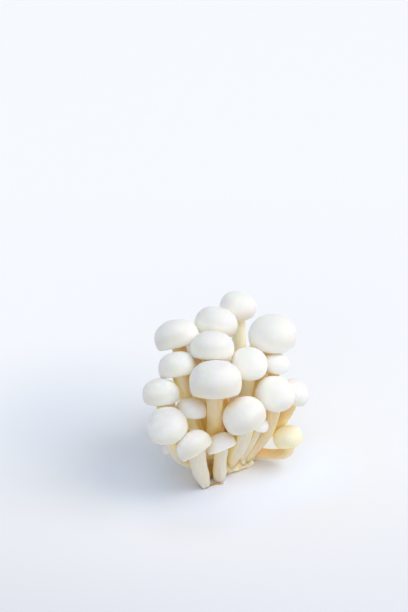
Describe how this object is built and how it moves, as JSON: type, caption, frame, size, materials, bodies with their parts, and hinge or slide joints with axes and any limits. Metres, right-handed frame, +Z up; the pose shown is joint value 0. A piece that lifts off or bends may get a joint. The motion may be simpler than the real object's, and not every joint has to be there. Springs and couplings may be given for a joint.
{
  "type": "shimeji mushroom bunch",
  "caption": "Bunch of small white shimeji mushrooms with domed caps and slender stems fanning from a shared cut base, with a curled cream mushroom at the side.",
  "frame": {"origin": "the middle of the flat cut under the base, at the level of the surface the bunch stands on", "axes": "+Z up, from the cut base towards the caps; +X to the right of the front, towards the curled mushroom; +Y from the front to the back"},
  "size_m": [0.0801, 0.0895, 0.0725],
  "materials": {
    "white_flesh": null,
    "cream_flesh": null,
    "base_flesh": null
  },
  "bodies": {
    "root": {"base": "base_flesh", "mushroom_back_left": "white_flesh", "mushroom_back_low_left": "white_flesh", "mushroom_back_low_middle": "white_flesh", "mushroom_back_low_right": "white_flesh", "mushroom_back_middle": "white_flesh", "mushroom_back_right": "white_flesh", "mushroom_centre": "white_flesh", "mushroom_crown": "white_flesh", "mushroom_curled_right": "cream_flesh", "mushroom_far_left": "white_flesh", "mushroom_far_right": "white_flesh", "mushroom_front_right": "white_flesh", "mushroom_left_bottom": "white_flesh", "mushroom_left_lower": "white_flesh", "mushroom_right": "white_flesh", "mushroom_short_left": "white_flesh", "mushroom_short_right": "white_flesh", "mushroom_small_inner": "white_flesh", "mushroom_small_right": "white_flesh", "mushroom_small_under": "white_flesh", "mushroom_top_left": "white_flesh", "mushroom_top_middle": "white_flesh", "mushroom_top_right": "white_flesh", "mushroom_upper_left": "white_flesh", "mushroom_upper_middle": "white_flesh", "mushroom_upper_right": "white_flesh"}
  },
  "joints": []
}
